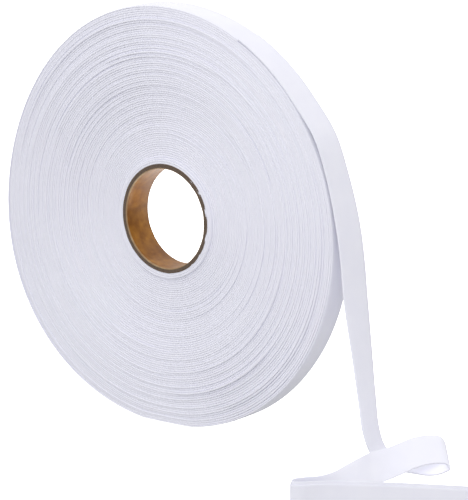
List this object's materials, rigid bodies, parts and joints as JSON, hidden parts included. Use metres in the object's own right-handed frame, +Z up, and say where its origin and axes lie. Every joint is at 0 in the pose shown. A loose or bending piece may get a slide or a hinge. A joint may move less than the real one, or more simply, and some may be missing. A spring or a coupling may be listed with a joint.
{
  "type": "roll of bias tape",
  "caption": "Flat roll of white double-fold bias tape on a cardboard core, standing on its rim, with the loose end hanging down and turning back along the surface.",
  "frame": {"origin": "middle of the small flat spot on the roll's rim, on the surface that it stands on", "axes": "+X along the roll's face towards the loose end, +Y along the roll's axis away from the front face, +Z up"},
  "size_m": [0.2826, 0.0835, 0.1695],
  "materials": {
    "tape": "matt woven cotton",
    "cardboard": "matt kraft board"
  },
  "bodies": {
    "root": {"core": "cardboard", "wound_tape": "tape", "loose_end": "tape"}
  },
  "joints": []
}
